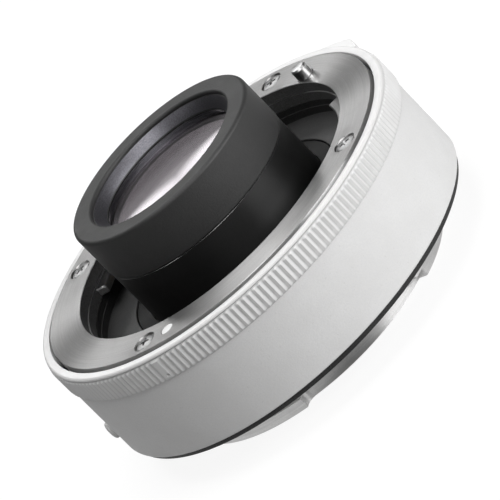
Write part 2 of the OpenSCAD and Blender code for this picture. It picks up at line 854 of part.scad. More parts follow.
module rear_lead() {
    color([0.75, 0.5, 0.2])
        sector(rear_lead_r - lead_t / 2, rear_lead_r + lead_t / 2, rear_block_z[1], board_z1 - board_t,
               lead_a[0], lead_a[1]);
}

module rear_contact_block() {
    color([0.12, 0.12, 0.13])
        difference() {
            sector(rear_block_r - rear_block_w, rear_block_r, rear_block_z[0], rear_block_z[1],
                   contact_a[0], contact_a[1]);
            for (i = [0 : contact_count - 1])
                on_circle(rear_pad_ring_r, [contact_angle(i)])
                    rod(pad_r + fit, rear_block_z[0] - eps, rear_block_z[0] + pad_t);
        }
}

module rear_contact_pads() {
    color([0.87, 0.7, 0.33])
        for (i = [0 : contact_count - 1])
            on_circle(rear_pad_ring_r, [contact_angle(i)])
                rod(pad_r, rear_block_z[0] - eps, rear_block_z[0] + pad_t);
}

// Rear mount

module rear_mount() {
    tip = [0.6, 0.3];
    neck_h = 0.12;
    neck_d = 0.1;
    color([0.8, 0.8, 0.79])
        difference() {
            union() {
                rotate_extrude()
                    polygon([[tube_in_r, -bayonet_depth], [bayonet_r - tip[0], -bayonet_depth],
                             [bayonet_r, tip[1] - bayonet_depth], [bayonet_r, lug_z1 - neck_h],
                             [bayonet_r - neck_d, lug_z1], [bayonet_r - neck_d, 0], [seat_r - edge, 0],
                             [seat_r, edge], [seat_r, plate_t], [tube_in_r, plate_t]]);
                for (a = lug_starts)
                    sector(bayonet_r - tube_wall / 2, lug_r, -bayonet_depth, lug_z1, a, a + lug_span);
                sector(bayonet_r - tube_wall / 2, lug_r, stop_z[0], stop_z[1], lug_starts[2] - stop_span,
                       lug_starts[2] + stop_span / 4);
            }
            mirror([0, 0, 1])
                on_circle(rear_screw_ring_r, rear_screw_angles)
                    screw_seat(screw_head_r, screw_r, fit, plate_t + eps);
        }
}

module rear_mount_screws() {
    color([0.75, 0.75, 0.74])
        translate([0, 0, fit])
            mirror([0, 0, 1])
                on_circle(rear_screw_ring_r, rear_screw_angles)
                    cross_screw(screw_head_r, screw_r, screw_l);
}

module rear_skirt_ring() {
    skirt_in = 0.8;
    color([0.06, 0.06, 0.06])
        tube(seat_r + clear, shell_r - skirt_in, plate_t - skirt_ring_h, plate_t);
}

module rear_baffle() {
    flange_r = lip_in_r - 2 * clear;
    flange_t = 0.5;
    wall_t = 0.7;
    opening = [25, 17];
    cup_r = tube_in_r - 2 * fit;
    notch_gap = 0.15;
    color([0.09, 0.09, 0.09])
        difference() {
            union() {
                tube(cup_r - wall_t, flange_r, plate_t, plate_t + flange_t);
                tube(cup_r - wall_t, cup_r, baffle_z0, plate_t + eps);
                rod(cup_r - wall_t + eps, baffle_z0, baffle_z0 + baffle_t);
            }
            translate([-opening[0] / 2, -opening[1] / 2, baffle_z0 - over])
                cube([opening[0], opening[1], baffle_t + 2 * over]);
            sector(rear_block_r - rear_block_w - notch_gap, tube_in_r + over, baffle_z0 - over,
                   rear_block_z[1] + notch_gap, contact_a[0] - 0.5, contact_a[1] + 0.5);
        }
}

main_barrel();
ribbed_ring();
front_mount();
flange_screws();
front_index_dot();
mount_spring_ring();
well_liner();
barrel_collar();
chassis();
lens_barrel();
lens_head();
for (i = [0 : len(lens_names) - 1])
    lens_element(i);
for (k = [0 : len(spacer_names) - 1])
    lens_spacer(k);
rear_retaining_ring();
release_lever();
lock_pin();
lock_pin_spring();
lever_spring();
front_contact_block();
for (i = [0 : contact_count - 1])
    contact_pin(i);
for (i = [0 : contact_count - 1])
    contact_spring(i);
circuit_board();
board_screws();
front_lead();
rear_lead();
rear_contact_block();
rear_contact_pads();
rear_mount();
rear_mount_screws();
rear_skirt_ring();
rear_index_bump();
rear_baffle();
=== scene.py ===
"""Looks of a white camera teleconverter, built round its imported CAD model.
Sizes are in millimetres until a piece is finished, and angles are degrees about the optical axis."""
import math

import bmesh
import bpy
from mathutils import Matrix, Vector


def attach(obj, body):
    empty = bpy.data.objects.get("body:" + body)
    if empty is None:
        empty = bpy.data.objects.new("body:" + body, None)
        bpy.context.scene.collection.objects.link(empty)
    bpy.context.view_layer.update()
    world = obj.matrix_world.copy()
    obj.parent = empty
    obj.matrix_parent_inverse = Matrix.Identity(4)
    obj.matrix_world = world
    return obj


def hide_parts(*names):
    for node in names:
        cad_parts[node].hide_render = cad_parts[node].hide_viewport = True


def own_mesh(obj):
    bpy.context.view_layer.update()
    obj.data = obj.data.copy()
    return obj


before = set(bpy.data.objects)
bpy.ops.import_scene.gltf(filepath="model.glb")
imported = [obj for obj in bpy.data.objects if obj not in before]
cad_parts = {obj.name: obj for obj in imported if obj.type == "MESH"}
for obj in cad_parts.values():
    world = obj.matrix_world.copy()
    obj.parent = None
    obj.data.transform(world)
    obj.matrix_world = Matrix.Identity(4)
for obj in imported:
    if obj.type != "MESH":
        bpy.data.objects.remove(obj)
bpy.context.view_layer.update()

MM = 0.001

# Heights of the turned parts above the rear seat
FLANGE_Z = 17.55
FLANGE_BACK_Z = 16.05
LEDGE_Z = 15.9
CLAW_Z = (14.35, 15.6)
LINER_TOP_Z = 14.1
FLOOR_Z = 11.95
WEB_Z = (8.0, 9.6)
RING_Z = (13.05, 17.28)
RIB_TOP_Z = 16.75
PLATE_Z = 1.0
BARREL_TOP_Z = 20.75
HEAD_TOP_Z = 28.0
LENS_FRONT_Z = 25.8
COLLAR_Z = (10.8, 11.8)
LEVER_Z = (9.95, 15.9)
PEG_Z = 13.1
RETAINER_TOP_Z = -1.2
LENS_BACK_Z = -2.5
BAFFLE_Z = -3.4
TUBE_END_Z = -5.0
LUG_TOP_Z = -3.3

# Radii from the optical axis outwards
SPACER_R = 11.0
LENS_R = 11.5
BORE_R = 11.6
CELL_R = 14.2
BARREL_R = 15.7
HEAD_R = 15.8
COLLAR_R = 18.0
BLOCK_R = (18.3, 20.1)
TUBE_R = (20.3, 21.75)
CLAW_R = 21.9
LUG_R = 23.31
WALL_R = 23.46
MOUTH_R = 23.65
SKIRT_R = 25.16
PIN_RING_R = 25.1
REAR_SCREW_RING_R = 25.075
FRONT_SCREW_RING_R = 26.73
DOT_RING_R = FRONT_SCREW_RING_R - 0.35
SEAT_R = 28.4
LEVER_R = (28.3, 28.9)
FLANGE_R = 29.2
SHELL_IN_R = 29.3
RING_IN_R = 29.66
SPIGOT_R = (29.76, 30.26)
SHELL_R = 30.85
RIB_ROOT_R = 30.95
RIB_R = 31.2

# Places round the axis
LUG_STARTS = (92, 197, 310)
LUG_SPAN = 50
LOCK_TURN = 54
FRONT_SCREW_ANGLES = (45, 135, 226, 316)
REAR_SCREW_ANGLES = (0, 90, 180, 270)
PIN_ANGLE = 25.1
DOT_ANGLE = 235
CONTACT_ANGLE = 105
CONTACT_PITCH = 5.4
CONTACT_COUNT = 10
CONTACT_HALF_SPAN = 28.62
BUMP_ANGLE = 180
RIB_COUNT = 203
FLAT_RIB = 130
LEVER_TURN = 6

# Travel of the sliding pieces
PIN_TRAVEL = 2.2


# Shapes

def polar(radius, angle):
    return radius * math.cos(math.radians(angle)), radius * math.sin(math.radians(angle))


def rounded(corners, steps=5):
    """A closed outline from (radius, height) corners. A third number rounds that corner."""
    points = []
    for i, corner in enumerate(corners):
        here = Vector(corner[:2])
        if len(corner) < 3:
            points.append(tuple(here))
            continue
        back = (Vector(corners[i - 1][:2]) - here).normalized()
        on = (Vector(corners[(i + 1) % len(corners)][:2]) - here).normalized()
        half = back.angle(on) / 2
        centre = here + (back + on).normalized() * (corner[2] / math.sin(half))
        first = here + back * (corner[2] / math.tan(half)) - centre
        last = here + on * (corner[2] / math.tan(half)) - centre
        a0, a1 = math.atan2(first.y, first.x), math.atan2(last.y, last.x)
        sweep = (a1 - a0 + math.pi) % (2 * math.pi) - math.pi
        for k in range(steps + 1):
            a = a0 + sweep * k / steps
            points.append((centre.x + corner[2] * math.cos(a), centre.y + corner[2] * math.sin(a)))
    return points


def box_outline(r0, r1, z0, z1, rounding=0.1):
    return rounded([(r0, z0, rounding), (r1, z0, rounding), (r1, z1, rounding), (r0, z1, rounding)], 3)


def shrunk(outline, amount):
    """An outline drawn in towards its middle, for the bevelled end of a swept piece."""
    lows = [min(p[i] for p in outline) for i in (0, 1)]
    highs = [max(p[i] for p in outline) for i in (0, 1)]
    mids = [(a + b) / 2 for a, b in zip(lows, highs)]
    shares = [1 - 2 * amount / (b - a) for a, b in zip(lows, highs)]
    return [tuple(m + (v - m) * s for v, m, s in zip(p, mids, shares)) for p in outline]


def tidy_faces(bm):
    bmesh.ops.remove_doubles(bm, verts=bm.verts, dist=1e-5)
    bmesh.ops.recalc_face_normals(bm, faces=bm.faces)
    return bm


def loft(rings, closed):
    """Faces between rings of points that have the same count, closed into a loop or capped at both ends."""
    bm = bmesh.new()
    loops = [[bm.verts.new(p) for p in ring] for ring in rings]
    count = len(loops[0])
    for i in range(len(loops) - (0 if closed else 1)):
        a, b = loops[i], loops[(i + 1) % len(loops)]
        for k in range(count):
            m = (k + 1) % count
            bm.faces.new((a[k], a[m], b[m], b[k]))
    if not closed:
        bm.faces.new(loops[0])
        bm.faces.new(loops[-1])
    return tidy_faces(bm)


def lathe(outline, sides=240):
    """A solid turned from a closed outline of (radius, height) points."""
    return loft([[(*polar(r, 360 * i / sides), z) for r, z in outline] for i in range(sides)], True)


def sweep(outline, start, end, bevel=0.08, sides=240):
    """A piece of a turned solid between two angles, with bevelled ends."""
    mean_r = sum(p[0] for p in outline) / len(outline)
    nip = math.degrees(bevel / mean_r)
    steps = max(2, round(sides * (end - start) / 360))
    inner = [start + nip + (end - start - 2 * nip) * i / steps for i in range(steps + 1)]
    small = shrunk(outline, bevel)
    sections = [(start, small)] + [(a, outline) for a in inner] + [(end, small)]
    return loft([[(*polar(r, a), z) for r, z in section] for a, section in sections], False)


def dome_points(ball_r, rim_r, rim_z, up, steps=14):
    """Points from the rim of a spherical face in to its middle. A negative ball_r is hollow."""
    drop = math.sqrt(ball_r * ball_r - rim_r * rim_r)
    side = up if ball_r > 0 else -up
    points = []
    for i in range(steps + 1):
        r = rim_r * (1 - i / steps)
        points.append((r, rim_z + side * (math.sqrt(ball_r * ball_r - r * r) - drop)))
    return points


def block(x, y, z):
    """A plain box between pairs of limits, used to cut with."""
    bm = bmesh.new()
    bmesh.ops.create_cube(bm, size=1)
    for v in bm.verts:
        v.co = [lo + (c + 0.5) * (hi - lo) for c, (lo, hi) in zip(v.co, (x, y, z))]
    return bm


def moved(bm, matrix):
    bmesh.ops.transform(bm, matrix=matrix, verts=bm.verts)
    return bm


def at(radius, angle, height=0.0, turn=0.0):
    """The place on a circle round the axis, with x pointing outwards."""
    spin = Matrix.Rotation(math.radians(angle), 4, "Z")
    return spin @ Matrix.Translation((radius, 0, height)) @ Matrix.Rotation(math.radians(turn), 4, "Z")


def joined(parts):
    """Separate solids in one mesh."""
    whole = bmesh.new()
    for part in parts:
        mesh = bpy.data.meshes.new("part")
        part.to_mesh(mesh)
        part.free()
        whole.from_mesh(mesh)
        bpy.data.meshes.remove(mesh)
    return whole


def scratch(bm):
    mesh = bpy.data.meshes.new("scratch")
    bm.to_mesh(mesh)
    bm.free()
    obj = bpy.data.objects.new("scratch", mesh)
    bpy.context.scene.collection.objects.link(obj)
    return obj


def combined(base, tools, operation):
    """The base solid after each tool has been cut from it or joined to it."""
    target = scratch(base)
    helpers = [scratch(tool) for tool in tools]
    for helper in helpers:
        step = target.modifiers.new("step", "BOOLEAN")
        step.operation, step.object, step.solver = operation, helper, "EXACT"
    bpy.context.view_layer.update()
    mesh = bpy.data.meshes.new_from_object(target.evaluated_get(bpy.context.evaluated_depsgraph_get()))
    result = bmesh.new()
    result.from_mesh(mesh)
    for obj in [target, *helpers]:
        bpy.data.meshes.remove(obj.data)
    bpy.data.meshes.remove(mesh)
    bmesh.ops.remove_doubles(result, verts=result.verts, dist=1e-4)
    return result


def cut(base, *tools):
    return combined(base, tools, "DIFFERENCE")


def welded(base, *tools):
    return combined(base, tools, "UNION")


def tube_along(points, radius, sides=10):
    """A round wire along a line of points."""
    points = [Vector(p) for p in points]
    rings = []
    for i, p in enumerate(points):
        ahead = (points[min(i + 1, len(points) - 1)] - points[max(i - 1, 0)]).normalized()
        side = ahead.cross(Vector((0, 0, 1))).normalized()
        other = side.cross(ahead)
        rings.append([p + radius * (math.cos(t) * side + math.sin(t) * other)
                      for t in (2 * math.pi * k / sides for k in range(sides))])
    return loft(rings, False)


def coil(coil_r, wire_r, height, turns):
    """A compression spring on z = 0 whose end turns close up on themselves."""
    steps = 28
    points = []
    rest = height - 2 * wire_r
    for i in range(steps * turns + 1):
        t = i / (steps * turns)
        eased = t - 0.8 / (math.pi * turns) * math.sin(2 * math.pi * t)
        points.append((*polar(coil_r, 360 * i / steps), wire_r + rest * min(max(eased, 0), 1)))
    return tube_along(points, wire_r)


# Finishes

class Socket:
    """A value in a finish. Sums on it add the nodes that work them out."""

    def __init__(self, finish, socket):
        self.finish = finish
        self.socket = socket

    def math(self, operation, *values):
        return self.finish.node("ShaderNodeMath", {"operation": operation}, dict(enumerate(values)))

    def __add__(self, other):
        return self.math("ADD", self, other)

    def __sub__(self, other):
        return self.math("SUBTRACT", self, other)

    def __rsub__(self, other):
        return self.math("SUBTRACT", other, self)

    def __mul__(self, other):
        return self.math("MULTIPLY", self, other)

    def __truediv__(self, other):
        return self.math("DIVIDE", self, other)

    def __rtruediv__(self, other):
        return self.math("DIVIDE", other, self)

    __radd__ = __add__
    __rmul__ = __mul__

    def above(self, low, high):
        """Rises from 0 at low to 1 at high, and stays there."""
        return self.finish.node("ShaderNodeMapRange", {"interpolation_type": "SMOOTHSTEP"},
                                {"Value": self, "From Min": low, "From Max": high})


class Finish:
    """A material, or the world, with its nodes."""

    def __init__(self, owner):
        self.material = bpy.data.materials.new(owner) if isinstance(owner, str) else owner
        self.material.use_nodes = True
        self.tree = self.material.node_tree
        self.tree.nodes.clear()

    def node(self, kind, settings=None, inputs=None, output=0):
        made = self.tree.nodes.new(kind)
        for name, value in (settings or {}).items():
            setattr(made, name, value)
        for key, value in (inputs or {}).items():
            if isinstance(value, Socket):
                self.tree.links.new(made.inputs[key], value.socket)
            else:
                made.inputs[key].default_value = value
        return Socket(self, made.outputs[output]) if made.outputs else None

    def place(self):
        """Where a point is on the object, in millimetres."""
        spot = self.node("ShaderNodeTexCoord", output="Object")
        return self.node("ShaderNodeVectorMath", {"operation": "SCALE"}, {0: spot, "Scale": 1 / MM})

    def outputs(self, kind, names, inputs=None):
        """Several outputs of one node."""
        made = self.node(kind, None, inputs).socket.node
        return [Socket(self, made.outputs[name]) for name in names]

    def axes(self, place):
        """x, y and z of a place."""
        return self.outputs("ShaderNodeSeparateXYZ", (0, 1, 2), {0: place})

    def seen(self):
        """1 for what the camera sees by itself, and 1 for what is seen in a mirror or through glass."""
        direct, mirrored, through = self.outputs(
            "ShaderNodeLightPath", ("Is Camera Ray", "Is Glossy Ray", "Is Transmission Ray"))
        return direct, mirrored.math("MAXIMUM", mirrored, through)

    def round_axis(self, place):
        """Radius, angle in turns and height of a place."""
        x, y, z = self.axes(place)
        radius = self.node("ShaderNodeMath", {"operation": "SQRT"}, {0: x * x + y * y})
        angle = x.math("ARCTAN2", y, x) / (2 * math.pi)
        return radius, angle, z

    def vector(self, x, y, z):
        return self.node("ShaderNodeCombineXYZ", inputs={0: x, 1: y, 2: z})

    def noise(self, place, scale, detail=2.0, roughness=0.5):
        return self.node("ShaderNodeTexNoise", None,
                         {"Vector": place, "Scale": scale, "Detail": detail, "Roughness": roughness})

    def mix(self, factor, one, two):
        return self.node("ShaderNodeMix", {"data_type": "RGBA"}, {0: factor, 6: one, 7: two}, 2)

    def bump(self, height, depth, strength=1.0):
        """A normal from a height of 0 to 1 that stands for a depth in millimetres."""
        return self.node("ShaderNodeBump", None, {"Height": height, "Distance": depth * MM, "Strength": strength})

    def surface(self, **inputs):
        named = {key.replace("_", " ").title().replace("Ior", "IOR"): value for key, value in inputs.items()}
        shader = self.node("ShaderNodeBsdfPrincipled", None, named)
        self.node("ShaderNodeOutputMaterial", None, {"Surface": shader})
        return self.material


def grey(value, warm=0.0):
    return value * (1 + warm), value, value * (1 - warm), 1.0


def white_paint():
    """Sprayed white with a fine dry grain, faint clouding and a few darker specks."""
    f = Finish("white_paint")
    p = f.place()
    grain = f.noise(p, 4.2, 3.0, 0.6)
    cloud = f.noise(p, 0.16, 3.0)
    speck = f.noise(p, 2.6, 1.0).above(0.7, 0.78)
    wear = f.noise(p, 1.1, 4.0).above(0.62, 0.75)
    tone = f.mix(cloud.above(0.3, 0.7), grey(0.80, 0.004), grey(0.84, 0.002))
    tone = f.mix(grain.above(0.35, 0.65) * 0.35, tone, grey(0.75))
    tone = f.mix(speck * 0.3, tone, grey(0.6, 0.02))
    return f.surface(base_color=tone, roughness=0.5 + 0.14 * grain - 0.08 * wear,
                     normal=f.bump(grain, 0.035))


def white_resin():
    """Moulded white, smoother than the paint, with painted shade and a little dust darkening the hollows low
    between the ribs.
    """
    f = Finish("white_resin")
    p = f.place()
    radius, _, _ = f.round_axis(p)
    grain = f.noise(p, 5.5, 2.0)
    cloud = f.noise(p, 0.3, 2.0)
    # Painted shade: the hollows low between the ribs are darkened towards grey as if they lay in shadow, along
    # with a little dust.
    dust_and_painted_shade = (1 - radius.above(RIB_ROOT_R, RIB_ROOT_R + 0.12)) * radius.above(30.6, 30.75)
    tone = f.mix(cloud.above(0.3, 0.7), grey(0.77, 0.003), grey(0.81, 0.002))
    tone = f.mix(dust_and_painted_shade * (0.28 + 0.2 * cloud), tone, grey(0.5, 0.01))
    return f.surface(base_color=tone, roughness=0.42 + 0.12 * grain, normal=f.bump(grain, 0.015))


def turned_metal(name, tone, rough, anisotropic, pitch, depth, warm=0.01):
    """Metal with the fine circular marks of the lathe."""
    f = Finish(name)
    p = f.place()
    radius, angle, z = f.round_axis(p)
    along = f.vector(radius * pitch, angle * 14.0, z * pitch)
    lines = f.noise(along, 1.0, 3.0, 0.65)
    speck = f.noise(p, 5.0, 2.0)
    handled = f.noise(p, 0.35, 3.0).above(0.45, 0.75)
    colour = f.mix(lines.above(0.25, 0.75), grey(tone * 0.86, warm), grey(tone * 1.08, warm))
    colour = f.mix(speck.above(0.4, 0.7) * 0.5, colour, grey(tone * 0.82, warm))
    colour = f.mix(handled * 0.18, colour, grey(tone * 0.8, warm * 2))
    return f.surface(base_color=colour, metallic=1.0, anisotropic=anisotropic, anisotropic_rotation=0.25,
                     roughness=rough + 0.08 * lines + 0.04 * handled - 0.04,
                     normal=f.bump(lines, depth))


def drawn_metal(name, tone, rough, warm=0.0):
    """Smooth plated metal with faint smears and pits."""
    f = Finish(name)
    p = f.place()
    smear = f.noise(p, 1.4, 4.0)
    pits = f.noise(p, 7.0, 2.0).above(0.66, 0.78)
    colour = f.mix(smear.above(0.3, 0.7), grey(tone * 0.9, warm), grey(tone, warm))
    return f.surface(base_color=f.mix(pits * 0.4, colour, grey(tone * 0.5, warm)), metallic=1.0,
                     roughness=rough + 0.10 * smear, normal=f.bump(smear, 0.004))


def black_finish(name, tone, rough, grain_scale, depth, tint=(1, 1, 1), **constants):
    """Black or dark grey with a grain, rubbed a little lighter in patches."""
    f = Finish(name)
    p = f.place()
    grain = f.noise(p, grain_scale, 2.0, 0.6)
    rubbed = f.noise(p, 0.25, 4.0).above(0.45, 0.8)

    def shade(level):
        return (*(tone * level * t for t in tint), 1.0)

    colour = f.mix(grain.above(0.3, 0.7), shade(0.7), shade(1.25))
    colour = f.mix(rubbed * 0.25, colour, shade(1.5))
    return f.surface(base_color=colour, roughness=rough + 0.12 * grain - 0.06 * rubbed,
                     normal=f.bump(grain, depth), **constants)


def coated_glass(name, tint, index, shine):
    """Polished glass with a coating that tints what it passes, and a trace of dust."""
    f = Finish(name)
    p = f.place()
    dust_and_painted_shade = f.noise(p, 4.0, 2.0).above(0.7, 0.85)
    smear = f.noise(p, 0.3, 3.0).above(0.4, 0.8)
    hazy = (*(t * 0.94 for t in tint), 1)
    return f.surface(base_color=f.mix(smear * 0.4, (*tint, 1), hazy),
                     roughness=0.004 + 0.03 * dust_and_painted_shade + 0.006 * smear, transmission_weight=1.0, ior=index,
                     specular_tint=(*tint, 1), specular_ior_level=shine)


def board_laminate():
    """Green board with the shadow of its tracks."""
    f = Finish("board_laminate")
    p = f.place()
    radius, angle, _ = f.round_axis(p)
    tracks = f.noise(f.vector(radius * 1.6, angle * 60.0, 0.0), 1.0, 1.0).above(0.52, 0.55)
    weave = f.noise(p, 3.0, 2.0)
    colour = f.mix(tracks * 0.6, (0.012, 0.09, 0.045, 1), (0.03, 0.16, 0.07, 1))
    return f.surface(base_color=colour, roughness=0.32 + 0.12 * weave, normal=f.bump(tracks, 0.03))


def lead_film():
    """Amber film with copper lines along it."""
    f = Finish("lead_film")
    p = f.place()
    _, angle, z = f.round_axis(p)
    lines = f.noise(f.vector(angle * 700.0, 0.0, z * 0.05), 1.0, 0.0).above(0.48, 0.54)
    haze = f.noise(p, 1.2, 3.0)
    colour = f.mix(lines, (0.35, 0.14, 0.03, 1), (0.5, 0.25, 0.1, 1))
    return f.surface(base_color=colour, roughness=0.35 + 0.15 * haze, normal=f.bump(lines, 0.01))


FINISHES = {
    "white_paint": white_paint(),
    "white_resin": white_resin(),
    "flange_steel": turned_metal("flange_steel", 0.47, 0.31, 0.97, 5.0, 0.003, 0.006),
    "bayonet_chrome": turned_metal("bayonet_chrome", 0.76, 0.36, 0.86, 3.5, 0.002, 0.004),
    "screw_steel": drawn_metal("screw_steel", 0.34, 0.28),
    # Painted highlight: a much lighter copy of the screw steel for the walls of the cross recess, standing in for
    # their bright reflections.
    "recess_painted_highlight": drawn_metal("recess_painted_highlight", 0.85, 0.3),
    "pin_steel": drawn_metal("pin_steel", 0.55, 0.26),
    "spring_steel": drawn_metal("spring_steel", 0.5, 0.2),
    "black_plastic": black_finish("black_plastic", 0.034, 0.42, 4.0, 0.012, specular_ior_level=0.25),
    "collar_black": black_finish("collar_black", 0.008, 0.5, 4.0, 0.012, specular_ior_level=0.12),
    # Painted light: a lighter copy of the black for the mount's inner wall, which lies in shade, standing in for
    # light it does not get.
    "wall_black_painted_lighter": black_finish("wall_black_painted_lighter", 0.1, 0.5, 4.0, 0.012, specular_ior_level=0.4),
    "black_alloy": black_finish("black_alloy", 0.006, 0.44, 5.0, 0.003, specular_ior_level=0.4,
                                anisotropic=0.82, anisotropic_rotation=0.25),
    "bare_edge": drawn_metal("bare_edge", 0.36, 0.2),
    "lens_head_plastic": black_finish("lens_head_plastic", 0.012, 0.54, 3.6, 0.030, specular_ior_level=0.8),
    "cone_black": black_finish("cone_black", 0.19, 0.39, 7.0, 0.002, (1.0, 0.985, 1.09), metallic=1.0),
    "chassis_alloy": drawn_metal("chassis_alloy", 0.2, 0.42),
    "front_glass": coated_glass("front_glass", (1.0, 0.9, 0.98), 1.68, 0.5),
    "inner_glass": coated_glass("inner_glass", (0.9, 0.8, 1.0), 1.52, 0.06),
    "contact_gold": drawn_metal("contact_gold", 0.62, 0.2, 0.35),
    "board_laminate": board_laminate(),
    "lead_film": lead_film(),
}


def finished(name, bm, body, node, slot, finish=None, crease=32):
    """The piece that stands for a CAD node: its mesh in metres, its shading, finish and body."""
    mesh = bpy.data.meshes.new(name)
    bm.to_mesh(mesh)
    bm.free()
    mesh.transform(Matrix.Scale(MM, 4))
    mesh.polygons.foreach_set("use_smooth", [True] * len(mesh.polygons))
    mesh.set_sharp_from_angle(angle=math.radians(crease))
    mesh.materials.append(FINISHES[finish or slot])
    obj = bpy.data.objects.new(name, mesh)
    bpy.context.scene.collection.objects.link(obj)
    even = obj.modifiers.new("even_shading", "WEIGHTED_NORMAL")
    even.keep_sharp = True
    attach(obj, body)
    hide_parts(node)
    return obj


def fixed(name, bm, node, slot, finish=None, crease=32):
    return finished(name, bm, "converter", node, slot, finish, crease)


# Outer shell

def barrel_shell():
    shell = lathe(rounded([
        (23.5, PLATE_Z, 0.1), (SHELL_R, PLATE_Z, 0.16), (SHELL_R, RING_Z[0], 0.12), (SPIGOT_R[1], RING_Z[0]),
        (SPIGOT_R[1], RING_Z[0] + 1.95), (SPIGOT_R[0], RING_Z[0] + 1.95), (SPIGOT_R[0], RING_Z[0]),
        (SHELL_IN_R, RING_Z[0]), (SHELL_IN_R, WEB_Z[0]), (28.3, WEB_Z[0]), (28.3, 2.2), (23.5, 2.2)]), 360)
    window = sweep([(29, 13.1), (30.8, 13.1), (30.8, 16.5), (29, 16.5)], 14.2, 33.8, 0.01)
    holes = [moved(lathe([(0, 0), (0.85, 0), (0.85, 4), (0, 4)], 32), at(REAR_SCREW_RING_R, a))
             for a in REAR_SCREW_ANGLES]
    bump_hole = moved(lathe([(0, -3.5), (1.45, -3.5), (1.45, -0.06), (1.53, 0.04), (1.53, 1), (0, 1)], 64),
                      bump_frame())
    fixed("barrel_shell", cut(shell, window, joined(holes), bump_hole), "main_barrel", "white_paint")


def bump_frame():
    """Outward from the barrel's side, where the index bump sits."""
    return at(SHELL_R, BUMP_ANGLE, 4.2) @ Matrix.Rotation(math.radians(90), 4, "Y")


def index_bump():
    points = [(0, -2.5), (1.4, -2.5), (1.4, 0.18)]
    points += [(1.4 * math.cos(math.radians(t)) ** 0.8, 0.18 + 0.47 * math.sin(math.radians(t)))
               for t in range(15, 90, 15)]
    bump = lathe(points + [(0, 0.65)], 64)
    fixed("index_bump", moved(bump, bump_frame()), "rear_index_bump", "white_resin")


def rib_columns():
    """(angle, height of the rib from 0 to 1, inside the notch) round the ring. One hollow is filled up flat."""
    pitch = 360 / RIB_COUNT
    columns = []
    for i in range(RIB_COUNT):
        for offset, height in ((-0.46, 0.03), (-0.05, 0.94), (0, 1), (0.05, 0.94), (0.46, 0.03)):
            filled = (i == FLAT_RIB and offset > 0) or (i == FLAT_RIB + 1 and offset < 0)
            notch = i == FLAT_RIB + 1 and offset < 0
            columns.append(((i + offset) * pitch, 1 if filled else height, notch))
    return columns


def ribbed_grip():
    low, top = RING_Z
    rib_h = RIB_R - RIB_ROOT_R
    rim_h, rim_r = 0.43, RIB_ROOT_R + 0.06
    rows = [(low, 0.35), (low + 0.06, 0.62), (low + 0.2, 1), (low + 0.55, 1), (low + 0.56, 1), (low + 0.95, 1),
            (low + 0.96, 1), (RIB_TOP_Z - 0.42, 1), (RIB_TOP_Z - 0.34, 0.82), (RIB_TOP_Z - 0.06, 0.02)]
    rim = [(rim_r - rim_h + rim_h * math.cos(math.radians(a)), top - rim_h + rim_h * math.sin(math.radians(a)))
           for a in range(6, 91, 12)]
    top_in = [(RING_IN_R + 0.12, top), (RING_IN_R + 0.03, top - 0.04), (RING_IN_R, top - 0.12)]
    inside = [(RING_IN_R, low + 2.0), (30.31, low + 2.0), (30.31, low)]
    rings = []
    for angle, height, notch in rib_columns():
        outline = []
        for k, (z, share) in enumerate(rows):
            deep = notch and k in (4, 5)
            outline.append((RIB_ROOT_R + (0.02 if deep else height * share) * rib_h, z))
        outline += [(RIB_ROOT_R - 0.06, RIB_TOP_Z), (30.72, RIB_TOP_Z + 0.01), (30.72, RIB_TOP_Z + 0.09),
                    (rim_r - 0.03, top - rim_h)]
        outline += rim + top_in + inside
        rings.append([(*polar(r, angle), z) for r, z in outline])
    window = sweep([(29, 13.85), (31.6, 13.85), (31.6, 16.0), (29, 16.0)], 16.2, 31.8, 0.01)
    fixed("ribbed_grip", cut(loft(rings, True), window), "ribbed_ring", "white_resin", crease=38)


# Front mount

def refinished(piece, chosen, finish):
    """A second finish on the faces picked by their radius, height and how far they face outwards."""
    piece.data.materials.append(FINISHES[finish])
    for face in piece.data.polygons:
        x, y, z = face.center / MM
        radius = math.hypot(x, y)
        if chosen(radius, z, (face.normal.x * x + face.normal.y * y) / max(radius, 1e-6)):
            face.material_index = 1


def screw_hole(sink):
    """A cutter for a countersunk screw that enters at z = 0, with a broken edge at its mouth."""
    return lathe([(0, -3), (0.85, -3), (0.85, -0.75 - sink), (1.5, -0.1 - sink), (1.62, -0.1 - sink),
                  (1.62, -0.16), (1.8, 0.02), (1.8, 1), (0, 1)], 64)


def cross_screw():
    """A countersunk screw with a tapered cross recess, its head's top at z = 0."""
    crown = [(1.5 * math.sin(math.radians(t)), 0.16 * math.cos(math.radians(t)) - 0.02) for t in range(75, 0, -15)]
    body = lathe([(0, -4.75), (0.55, -4.75), (0.8, -4.5), (0.8, -0.75), (1.42, -0.14), (1.5, -0.06)]
                 + crown + [(0, 0.14)], 64)
    arms = []
    for turn in (0, 90):
        arm = block((-0.85, 0.85), (-0.2, 0.2), (-0.5, 0.2))
        for v in arm.verts:
            if v.co.z < 0:
                v.co.x *= 0.45
                v.co.y *= 0.7
        arms.append(moved(arm, Matrix.Rotation(math.radians(turn), 4, "Z")))
    return cut(body, *arms)


def screw_set(ring_r, angles, turns, top, flip):
    parts = []
    for angle, turn in zip(angles, turns):
        place = at(ring_r, angle, top, turn)
        if flip:
            place = place @ Matrix.Rotation(math.pi, 4, "X")
        parts.append(moved(cross_screw(), place))
    return joined(parts)


def claw(start):
    """One claw of the front bayonet, with its corners broken."""
    outline = rounded([(CLAW_R, CLAW_Z[0], 0.12), (WALL_R + 0.1, CLAW_Z[0]), (WALL_R + 0.1, CLAW_Z[1]),
                       (CLAW_R, CLAW_Z[1], 0.22)], 3)
    return sweep(outline, start + 0.5, start + LOCK_TURN - 1, 0.16, 360)


